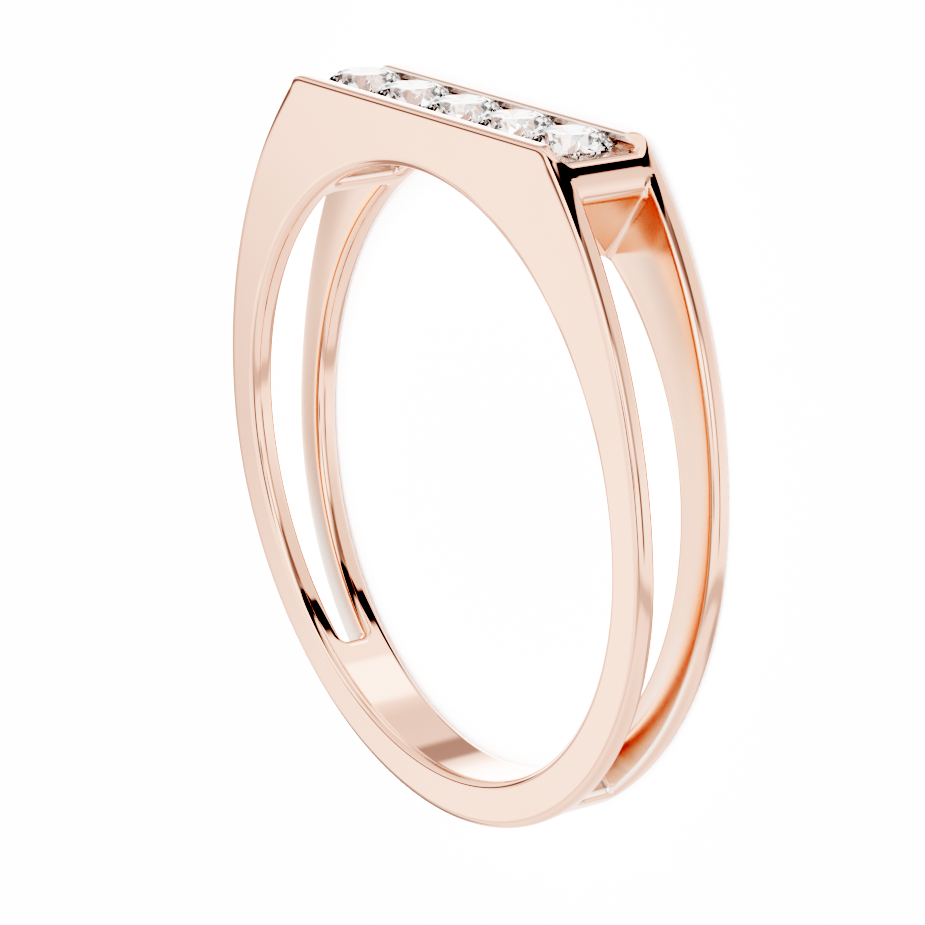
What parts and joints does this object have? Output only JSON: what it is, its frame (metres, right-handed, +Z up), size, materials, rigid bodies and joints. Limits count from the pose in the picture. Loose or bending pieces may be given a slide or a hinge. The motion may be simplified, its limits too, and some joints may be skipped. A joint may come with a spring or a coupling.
{
  "type": "diamond band",
  "caption": "Ring with a straight flat head, open split sides and a channel-set row of round brilliants, lying on its side.",
  "frame": {"origin": "where the finger hole's axis meets the surface that the ring lies on", "axes": "+Z up from that surface and 2.1 degrees off the finger hole's axis, +X along the row of stones, +Y from the shank to the head"},
  "size_m": [0.0202, 0.0205, 0.0035],
  "materials": {
    "rose_gold": "polished 14 karat rose gold",
    "diamond": "clear faceted stone"
  },
  "bodies": {
    "root": {"band": "rose_gold", "diamond_1": "diamond", "diamond_2": "diamond", "diamond_3": "diamond", "diamond_4": "diamond", "diamond_5": "diamond"}
  },
  "joints": []
}
